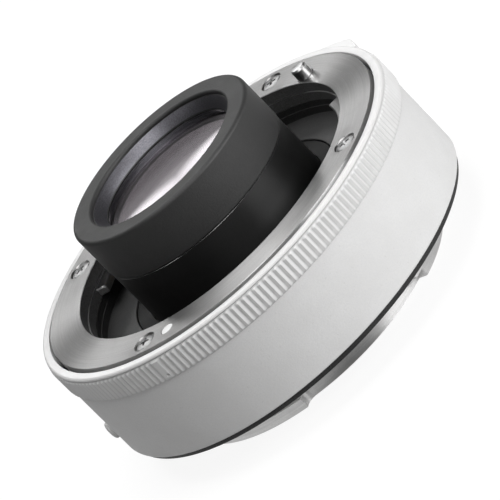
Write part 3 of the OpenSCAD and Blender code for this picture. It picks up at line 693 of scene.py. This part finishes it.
def front_flange():
    plate = lathe(rounded([
        (WALL_R, CLAW_Z[0]), (SKIRT_R, CLAW_Z[0], 0.1), (SKIRT_R, FLANGE_BACK_Z), (FLANGE_R, FLANGE_BACK_Z),
        (FLANGE_R, FLANGE_Z, 0.08), (MOUTH_R, FLANGE_Z, 0.14), (MOUTH_R, LEDGE_Z), (WALL_R, LEDGE_Z, 0.05)]), 360)
    plate = welded(plate, *[claw(a) for a in LUG_STARTS])
    holes = [moved(screw_hole(0.16), at(FRONT_SCREW_RING_R, a, FLANGE_Z)) for a in FRONT_SCREW_ANGLES]
    pin_hole = lathe([(0, 14), (1.27, 14), (1.27, 17.4), (1.42, 17.56), (1.42, 18), (0, 18)], 64)
    dot_hole = lathe([(0, 17.15), (1.0, 17.15), (1.0, 17.53), (1.04, 17.57), (1.04, 18), (0, 18)], 64)
    holes += [moved(pin_hole, at(PIN_RING_R, PIN_ANGLE)), moved(dot_hole, at(DOT_RING_R, DOT_ANGLE))]
    piece = fixed("front_flange", cut(plate, joined(holes)), "front_mount", "flange_steel")
    # The inner wall of the bore gets the lighter black: painted light on a shaded wall.
    refinished(piece, lambda r, z, out: WALL_R - 0.02 < r < MOUTH_R + 0.02 and z < FLANGE_Z - 0.1 and out < -0.9,
               "wall_black_painted_lighter")
    screws = screw_set(FRONT_SCREW_RING_R, FRONT_SCREW_ANGLES, (20, 62, 8, 38), FLANGE_Z - 0.16, False)
    piece = fixed("front_screws", screws, "flange_screws", "screw_steel")
    # The walls of the cross recess get the lighter steel: a painted highlight.
    refinished(piece, lambda r, z, out: FLANGE_Z - 0.7 < z < FLANGE_Z - 0.26, "recess_painted_highlight")
    dot = lathe(rounded([(0, 17.16), (0.95, 17.16), (0.95, 17.53, 0.05), (0, 17.54)], 3), 64)
    fixed("index_dot", moved(dot, at(DOT_RING_R, DOT_ANGLE)), "front_index_dot", "white_resin")


def well_lining():
    wall_r, wall_out_r = 23.56, 23.95
    outline = [(wall_out_r, LINER_TOP_Z), (wall_r + 0.08, LINER_TOP_Z), (wall_r, LINER_TOP_Z - 0.08),
               (wall_r, 13.2), (wall_r - 0.1, 13.12), (wall_r - 0.1, FLOOR_Z + 0.05), (wall_r - 0.15, FLOOR_Z),
               (18.2, FLOOR_Z), (18.1, FLOOR_Z - 0.1), (18.1, 11.15), (wall_r, 11.15), (wall_r, WEB_Z[1]),
               (wall_out_r, WEB_Z[1])]
    lining = lathe(outline, 300)
    gap = sweep([(17.9, 10.9), (20.2, 10.9), (20.2, 12.4), (17.9, 12.4)],
                CONTACT_ANGLE - 29, CONTACT_ANGLE + 29, 0.01)
    fixed("well_lining", cut(lining, gap), "well_liner", "black_plastic")


# Lens

def lens_group():
    tube = rounded([
        (BORE_R, LENS_BACK_Z, 0.1), (CELL_R, LENS_BACK_Z, 0.2), (CELL_R, WEB_Z[0]), (BARREL_R, WEB_Z[0]),
        (BARREL_R, WEB_Z[1]), (17.6, WEB_Z[1]), (17.6, COLLAR_Z[0]), (BARREL_R, COLLAR_Z[0]),
        (BARREL_R, BARREL_TOP_Z - 0.16),
        (BARREL_R - 0.12, BARREL_TOP_Z - 0.04), (BARREL_R - 0.3, BARREL_TOP_Z), (13.5, BARREL_TOP_Z),
        (13.5, BARREL_TOP_Z + 1.7), (BORE_R, BARREL_TOP_Z + 1.7)])
    piece = fixed("lens_tube", lathe(tube, 300), "lens_barrel", "black_alloy")
    refinished(piece, lambda r, z, out: r > BARREL_R - 0.12 and z > BARREL_TOP_Z - 0.16, "bare_edge")
    collar = lathe(box_outline(15.75, COLLAR_R, *COLLAR_Z), 300)
    fixed("lens_collar", collar, "barrel_collar", "black_plastic", "collar_black")
    head = rounded([
        (13.55, BARREL_TOP_Z + 0.02), (HEAD_R, BARREL_TOP_Z + 0.02, 0.16), (HEAD_R, HEAD_TOP_Z, 0.58),
        (12.4, HEAD_TOP_Z, 0.4), (12.4, HEAD_TOP_Z - 0.62), (12.3, HEAD_TOP_Z - 0.64), (11.08, LENS_FRONT_Z + 0.2),
        (11.02, LENS_FRONT_Z + 0.05), (BORE_R, LENS_FRONT_Z + 0.05), (BORE_R, 22.5), (13.55, 22.5)], 10)
    piece = fixed("lens_hood", lathe(head, 300), "lens_head", "lens_head_plastic")
    refinished(piece, lambda r, z, out: 11.2 < r < 12.2 and z > LENS_FRONT_Z + 0.1, "cone_black")


# Each lens from the front: its node, thickness, and the radii of its front and back, negative where hollow
LENS_STACK = (("front_element", 2.6, 80, -110), ("pair_front_element", 2.8, 60, 45),
              ("pair_rear_element", 3.2, -45, -60), ("fourth_element", 2.2, -40, 70),
              ("fifth_element", 2.4, 48, 60), ("rear_element", 1.8, -70, 60))
# The spacer in front of a lens
SPACERS = {"pair_front_element": "front_spacer", "fourth_element": "middle_spacer",
           "fifth_element": "inner_rear_spacer", "rear_element": "outer_rear_spacer"}


def lens_elements():
    stack = LENS_FRONT_Z - RETAINER_TOP_Z
    spacer_t = (stack - sum(e[1] for e in LENS_STACK)) / len(SPACERS)
    face_r = LENS_R - 0.3
    z = LENS_FRONT_Z
    for node, thick, front_r, back_r in LENS_STACK:
        if node in SPACERS:
            spacer = [(SPACER_R, z - spacer_t), (LENS_R, z - spacer_t), (LENS_R, z), (SPACER_R + 0.08, z),
                      (SPACER_R, z - 0.08)]
            threads = [(SPACER_R + (0.12 if k % 2 else 0), z - spacer_t * k / 12) for k in range(1, 12)]
            piece = fixed(SPACERS[node] + "_ring", lathe(spacer + threads, 120), SPACERS[node], "black_alloy")
            refinished(piece, lambda r, h, out: r < SPACER_R + 0.06 and z - 0.1 < h < z - 0.01, "bare_edge")
            z -= spacer_t
        front = dome_points(front_r, face_r, z, 1)
        back = dome_points(back_r, face_r, z - thick, -1)
        cement = 0.02 if front_r < 0 else 0
        outline = [(r, h - cement) for r, h in front[::-1]]
        outline += [(LENS_R - 0.08, z), (LENS_R, z - 0.08), (LENS_R, z - thick + 0.08), (LENS_R - 0.08, z - thick)]
        outline += back
        finish = "front_glass" if node == "front_element" else "inner_glass"
        fixed(node + "_glass", lathe(outline, 160), node, "coated_glass", finish)
        z -= thick
    ring = lathe(rounded([(SPACER_R, LENS_BACK_Z, 0.1), (11.55, LENS_BACK_Z), (11.55, RETAINER_TOP_Z),
                          (SPACER_R, RETAINER_TOP_Z)]), 160)
    slots = [moved(block((10.5, 12), (-0.4, 0.4), (-3, -2.0)), Matrix.Rotation(math.radians(a), 4, "Z"))
             for a in (20, 200)]
    fixed("retaining_ring", cut(ring, joined(slots)), "rear_retaining_ring", "black_alloy")


# Lock

def release_lever():
    arc = sweep(box_outline(*LEVER_R, *LEVER_Z, 0.08), 6, 30, 0.08, 360)
    stem = sweep([(28.8, 14.0), (31.45, 14.0), (31.45, 15.85), (28.8, 15.85)], 17, 25, 0.05, 720)
    low, high = 13.78, 16.98
    shares = ((13.5, 0.15), (15.5, 0.5), (17.5, 0.85), (18.6, 0.97), (19.5, 1.0), (21.5, 0.87), (23.5, 0.7),
              (25.5, 0.52), (28.5, 0.28), (31.5, 0.1))
    edge = 0.18
    sections = []
    for i, (angle, share) in enumerate(shares):
        out = 31.24 + 1.26 * share
        trim = edge if i in (0, len(shares) - 1) else 0.0
        round_off = min(edge, 0.45 * (out - 31.24))
        outline = rounded([(31.24, low + trim), (out, low + trim, round_off), (out, high - trim, round_off),
                           (31.05, high - trim), (31.05, RIB_TOP_Z + 0.04), (31.24, RIB_TOP_Z + 0.02)], 4)
        sections.append([(*polar(r, angle), z) for r, z in outline])
    tab = loft(sections, False)
    slot = [moved(lathe([(0, 27), (0.5, 27), (0.5, 29.5), (0, 29.5)], 32),
                  Matrix.Rotation(math.radians(PIN_ANGLE - LEVER_TURN * t), 4, "Z")
                  @ Matrix.Translation((0, 0, PEG_Z - PIN_TRAVEL * t)) @ Matrix.Rotation(math.radians(90), 4, "Y"))
            for t in [k / 12 for k in range(13)]]
    finished("thumb_lever", cut(welded(arc, stem, tab), *slot), "release_lever", "release_lever", "white_resin")


def lock_pin():
    top = FLANGE_Z + 1.85
    pin = lathe(rounded([(0, 8.1), (0.5, 8.1, 0.1), (0.5, 12.5), (1.03, 12.5, 0.08), (1.03, 16.8), (1.2, 17.0),
                         (1.2, top - 0.28), (1.12, top - 0.16, 0.04), (1.02, top, 0.1), (0, top + 0.06)], 6), 64)
    peg = moved(lathe(rounded([(0, 0), (0.4, 0), (0.4, 3.85, 0.08), (0, 3.85)], 3), 32),
                Matrix.Translation((0, 0, PEG_Z)) @ Matrix.Rotation(math.radians(90), 4, "Y"))
    bm = moved(welded(pin, peg), at(PIN_RING_R, PIN_ANGLE))
    finished("locking_pin", bm, "lock_pin", "lock_pin", "screw_steel", "pin_steel")


def springs():
    pin_low, pin_high = 8.425, 12.475
    spring = moved(coil(0.815, 0.13, pin_high - pin_low, 5), at(PIN_RING_R, PIN_ANGLE, pin_low))
    piece = fixed("pin_spring", spring, "lock_pin_spring", "spring_steel")
    x, y = polar(PIN_RING_R, PIN_ANGLE)
    x * MM
    y * MM
    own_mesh(piece)
    start, end, radius = 30.3, 41.4, 28.55
    middle, half = math.radians((start + end) / 2), math.radians((end - start) / 2)
    span = 2 * radius * math.sin(half)
    place = (Matrix.Rotation(middle, 4, "Z")
             @ Matrix.Translation((radius * math.cos(half), -span / 2, sum(LEVER_Z) / 2))
             @ Matrix.Rotation(math.radians(-90), 4, "X"))
    piece = fixed("return_spring", moved(coil(0.42, 0.13, span, 6), place), "lever_spring", "spring_steel")
    x, y = polar(radius, end)
    x * MM
    y * MM
    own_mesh(piece)


# Contacts

def contacts():
    face_z, base_z = 13.6, 9.85
    ring_r = sum(BLOCK_R) / 2
    angles = [CONTACT_ANGLE + (i - (CONTACT_COUNT - 1) / 2) * CONTACT_PITCH for i in range(CONTACT_COUNT)]
    first, last = CONTACT_ANGLE - CONTACT_HALF_SPAN, CONTACT_ANGLE + CONTACT_HALF_SPAN
    carrier = sweep(box_outline(*BLOCK_R, WEB_Z[1], face_z, 0.14), first, last, 0.14, 300)
    bore = [(0, base_z), (0.63, base_z), (0.63, face_z - 0.65), (0.47, face_z - 0.65), (0.47, face_z - 0.05),
            (0.55, face_z + 0.03), (0.55, face_z + 1), (0, face_z + 1)]
    bores = joined([moved(lathe(bore, 32), at(ring_r, a)) for a in angles])
    fixed("contact_carrier", cut(carrier, bores), "front_contact_block", "black_plastic")
    head_z = face_z - 0.7
    spring_low, spring_high = base_z + 0.025, head_z - 0.8 - 0.025
    height = spring_high - spring_low
    for i, angle in enumerate(angles):
        number = f"{i + 1:02d}"
        tip = rounded([(0, head_z - 0.8), (0.58, head_z - 0.8, 0.05), (0.58, head_z, 0.05), (0.42, head_z),
                       (0.42, face_z + 0.8, 0.3), (0, face_z + 0.8)], 5)
        finished("sprung_contact_" + number, moved(lathe(tip, 40), at(ring_r, angle)), "contact_pin_" + number,
                 "contact_pin_" + number, "contact_gold")
        wire = moved(coil(0.42, 0.08, height, 4), at(ring_r, angle, spring_low))
        piece = fixed("contact_coil_" + number, wire, "contact_spring_" + number, "spring_steel")
        x, y = polar(ring_r, angle)
        x * MM
        y * MM
        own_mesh(piece)
    rear_z, rear_r, pad_ring_r = -3.5, (17.4, 20.2), 18.8
    rear = sweep(box_outline(*rear_r, rear_z, rear_z + 2.5, 0.12), first, last, 0.12, 300)
    seats = [(0, rear_z - 1), (0.78, rear_z - 1), (0.78, rear_z - 0.03), (0.7, rear_z + 0.05), (0.7, rear_z + 0.3),
             (0, rear_z + 0.3)]
    seats = joined([moved(lathe(seats, 40), at(pad_ring_r, a)) for a in angles])
    fixed("rear_contact_holder", cut(rear, seats), "rear_contact_block", "black_plastic")
    pad = rounded([(0, rear_z - 0.05), (0.65, rear_z - 0.05, 0.06), (0.65, rear_z + 0.3), (0, rear_z + 0.3)], 4)
    pads = joined([moved(lathe(pad, 40), at(pad_ring_r, a)) for a in angles])
    fixed("rear_pads", pads, "rear_contact_pads", "contact_gold")


# Rear mount

def lug(start):
    """One bayonet lug, with the hollow that the cutter leaves at its far end."""
    root_r = TUBE_R[1] - 0.7
    hollow = LUG_R - TUBE_R[1]
    reach = math.degrees(hollow / LUG_R)
    plan = [(start, LUG_R - 0.14), (start + 0.35, LUG_R)]
    plan += [(start + LUG_SPAN * k / 40, LUG_R) for k in range(1, 41)]
    for k in range(1, 11):
        t = math.radians(9 * k)
        plan.append((start + LUG_SPAN + reach * (1 - math.cos(t)), LUG_R - (hollow + 0.05) * math.sin(t)))
    sections = []
    for angle, out in plan:
        outline = rounded([(root_r, TUBE_END_Z + 0.02), (out, TUBE_END_Z + 0.02, 0.08), (out, LUG_TOP_Z, 0.1),
                           (root_r, LUG_TOP_Z)], 3)
        sections.append([(*polar(r, angle), z) for r, z in outline])
    return loft(sections, False)


def rear_bayonet():
    plate = lathe(rounded([
        (TUBE_R[0], TUBE_END_Z, 0.15), (TUBE_R[1] - 0.16, TUBE_END_Z), (TUBE_R[1], TUBE_END_Z + 0.1),
        (TUBE_R[1], LUG_TOP_Z - 0.12), (TUBE_R[1] - 0.1, LUG_TOP_Z), (TUBE_R[1] - 0.1, 0.0, 0.12),
        (SEAT_R, 0.0, 0.18), (SEAT_R, PLATE_Z), (TUBE_R[0], PLATE_Z)]), 360)
    lugs = [lug(a) for a in LUG_STARTS]
    stop = sweep(box_outline(TUBE_R[1] - 0.7, LUG_R, LUG_TOP_Z - 0.45, LUG_TOP_Z + 0.6, 0.1),
                 LUG_STARTS[2] - 4.5, LUG_STARTS[2] + 1.1, 0.1, 360)
    whole = welded(plate, *lugs, stop)
    holes = [moved(screw_hole(0.05), at(REAR_SCREW_RING_R, a) @ Matrix.Rotation(math.pi, 4, "X"))
             for a in REAR_SCREW_ANGLES]
    fixed("rear_bayonet", cut(whole, joined(holes)), "rear_mount", "bayonet_chrome")
    fixed("rear_screws", screw_set(REAR_SCREW_RING_R, REAR_SCREW_ANGLES, (15, 70, 40, 5), 0.05, True),
          "rear_mount_screws", "screw_steel")
    fixed("seat_surround", lathe(box_outline(28.55, 30.35, 0.12, PLATE_Z, 0.1), 360), "rear_skirt_ring",
          "black_plastic")


def rear_frame():
    cup = rounded([
        (0, BAFFLE_Z), (20.2, BAFFLE_Z, 0.3), (20.2, PLATE_Z), (23.2, PLATE_Z), (23.2, PLATE_Z + 0.5),
        (19.5, PLATE_Z + 0.5), (19.5, BAFFLE_Z + 0.6), (0, BAFFLE_Z + 0.6)])
    rim = rounded([(-12.5, -8.5, 1.2), (12.5, -8.5, 1.2), (12.5, 8.5, 1.2), (-12.5, 8.5, 1.2)], 6)
    flare = [(BAFFLE_Z - 1, 0.16), (BAFFLE_Z - 0.02, 0.16), (BAFFLE_Z + 0.14, 0.0), (BAFFLE_Z + 2, 0.0)]
    window = loft([[(x * (1 + s / 12.5), y * (1 + s / 8.5), z) for x, y in rim] for z, s in flare], False)
    notch = sweep([(17.25, -5), (21.3, -5), (21.3, -0.85), (17.25, -0.85)], CONTACT_ANGLE - 29.12,
                  CONTACT_ANGLE + 29.12, 0.01)
    fixed("rear_frame", cut(lathe(cup, 300), window, notch), "rear_baffle", "black_plastic")


barrel_shell()
index_bump()
ribbed_grip()
front_flange()
well_lining()
lens_group()
lens_elements()
release_lever()
lock_pin()
springs()
contacts()
rear_bayonet()
rear_frame()

# CAD nodes that stay as they are, inside the body
for node, finish in (("mount_spring_ring", "spring_steel"), ("chassis", "chassis_alloy"),
                     ("circuit_board", "board_laminate"), ("board_screws", "screw_steel"),
                     ("front_lead", "lead_film"), ("rear_lead", "lead_film")):
    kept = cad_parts[node]
    kept.data.materials.clear()
    kept.data.materials.append(FINISHES[finish])


# Studio

def studio_floor():
    """A pale floor that looks white to the camera and keeps a faint shadow. Mirrors see it greyer, with painted
    shade that darkens it most under the object, along its middle and far out at the left."""
    bm = bmesh.new()
    bmesh.ops.create_grid(bm, x_segments=2, y_segments=2, size=3)
    mesh = bpy.data.meshes.new("studio_floor")
    bm.to_mesh(mesh)
    bm.free()
    floor = bpy.data.objects.new("studio_floor", mesh)
    floor.location.z = (TUBE_END_Z - 0.02) * MM
    bpy.context.scene.collection.objects.link(floor)
    f = Finish("floor_sweep")
    direct, mirrored = f.seen()
    p = f.place()
    radius, _, _ = f.round_axis(p)
    x, _, _ = f.axes(p)
    # Painted shade for mirrors and glass: less white glow under the object, along the middle and far out at the
    # left, so the reflections of the floor darken there.
    shade_under_object = 1 - radius.above(19, 24)
    middle = 1 - x.math("ABSOLUTE", x).above(2, 13)
    dark_left = radius.above(50, 80) * (1 - x.above(-20, 20))
    matt = f.node("ShaderNodeBsdfDiffuse", None, {"Color": grey(0.22)})
    white = f.node("ShaderNodeEmission", None, {"Color": grey(1.0), "Strength": 1.05})
    tone = f.mix(mirrored, grey(0.95), grey(0.32))
    shadow = f.node("ShaderNodeBsdfDiffuse", None, {"Color": tone})
    shaded = 0.16 + mirrored * (0.2 + 0.52 * middle + 0.1 * shade_under_object + 0.6 * dark_left)
    shown = f.node("ShaderNodeMixShader", None, {0: shaded, 1: white, 2: shadow})
    both = f.node("ShaderNodeMixShader", None, {0: direct.math("MAXIMUM", direct, mirrored), 1: matt, 2: shown})
    under, = f.outputs("ShaderNodeNewGeometry", ("Backfacing",))
    clear = f.node("ShaderNodeBsdfTransparent")
    f.node("ShaderNodeOutputMaterial", None,
           {"Surface": f.node("ShaderNodeMixShader", None, {0: under, 1: both, 2: clear})})
    mesh.materials.append(f.material)


def softbox(name, angle, height, distance, width, depth, radiance, mirrored):
    """A rectangular lamp that looks at the object from an angle round it and a height in degrees."""
    data = bpy.data.lights.new(name, "AREA")
    data.shape = "RECTANGLE"
    data.size, data.size_y = width, depth
    data.energy = radiance * math.pi * width * depth
    lamp = bpy.data.objects.new(name, data)
    flat = distance * math.cos(math.radians(height))
    target = Vector((0, 0, 0.012))
    lamp.location = target + Vector((*polar(flat, angle), distance * math.sin(math.radians(height))))
    lamp.rotation_euler = (lamp.location - target).to_track_quat("Z", "Y").to_euler()
    lamp.visible_glossy, lamp.visible_transmission = mirrored, False
    bpy.context.scene.collection.objects.link(lamp)


def studio_light():
    """A key lamp low at the right, soft lamps overhead, in front and at the left, and a backdrop that is white
    to the camera. Mirrors see it dimmer, with a bright arched window behind and a strip lamp overhead."""
    softbox("key_box", 322, 19, 1.0, 0.7, 0.36, 9.7, True)
    softbox("top_box", 90, 84, 1.0, 0.75, 0.75, 4.2, False)
    softbox("front_box", 270, 44, 1.0, 1.0, 0.24, 2.2, True)
    softbox("side_box", 184, 51, 1.0, 0.14, 0.14, 4.0, True)
    world = bpy.data.worlds.new("studio")
    bpy.context.scene.world = world
    f = Finish(world)
    direct, mirrored = f.seen()
    through, = f.outputs("ShaderNodeLightPath", ("Is Transmission Ray",))
    right, far, high = f.axes(f.node("ShaderNodeTexCoord", output="Generated"))
    aside = right.math("ABSOLUTE", right)
    behind = far.above(0.6, 0.88)
    backdrop = behind * (0.07 + 0.36 * high.above(0.29, 0.4) + high.above(0.39, 0.46))
    backdrop = backdrop * (1 - high.above(0.48, 0.55))
    arch = high + 0.7 * aside
    window = behind * 4.5 * arch.above(0.45, 0.52) * (1 - arch.above(0.57, 0.63))
    window = window * high.above(0.385, 0.43) * (1 - aside.above(0.14, 0.22))
    sides = (1 - far.above(-0.1, 0.3)) * 0.05 * (1 - high.above(0.5, 0.6))
    strip = 3.3 * (1 - aside.above(0.13, 0.2)) * high.above(0.66, 0.74)
    in_mirror = 0.05 + backdrop + window + sides + strip
    in_glass = 0.5 * behind * high.above(0.2, 0.32)
    mirror_level = in_mirror + (in_glass - in_mirror) * through
    level = 0.15 + (mirror_level - 0.15) * mirrored
    level = level + (1 - level) * direct
    light = f.node("ShaderNodeBackground", None, {"Color": grey(1.0), "Strength": level})
    f.node("ShaderNodeOutputWorld", None, {"Surface": light})


def photo_camera():
    """The camera at the photograph's place: tilted down at the front and turned about its own axis."""
    tilt, roll = 0.36663, 0.777046
    distance, focal_px, frame_px = 664.1127, 4784.357, 500
    aside, lift = 5.06344, -5.35661
    right = Vector((1, 0, 0))
    up = Vector((0, math.sin(tilt), math.cos(tilt)))
    back = Vector((0, -math.cos(tilt), math.sin(tilt)))
    across = math.cos(roll) * right - math.sin(roll) * up
    upward = math.sin(roll) * right + math.cos(roll) * up
    eye = -aside * across - lift * upward + distance * back + Vector((0, 0, 1.0))
    data = bpy.data.cameras.new("photo_camera")
    data.sensor_width = 36
    data.lens = focal_px / frame_px * data.sensor_width
    data.clip_start = 0.01
    camera = bpy.data.objects.new("photo_camera", data)
    camera.matrix_world = Matrix.Translation(eye * MM) @ Matrix((across, upward, back)).transposed().to_4x4()
    bpy.context.scene.collection.objects.link(camera)
    bpy.context.scene.camera = camera


studio_floor()
studio_light()
photo_camera()
bpy.context.scene.view_settings.view_transform = "Standard"
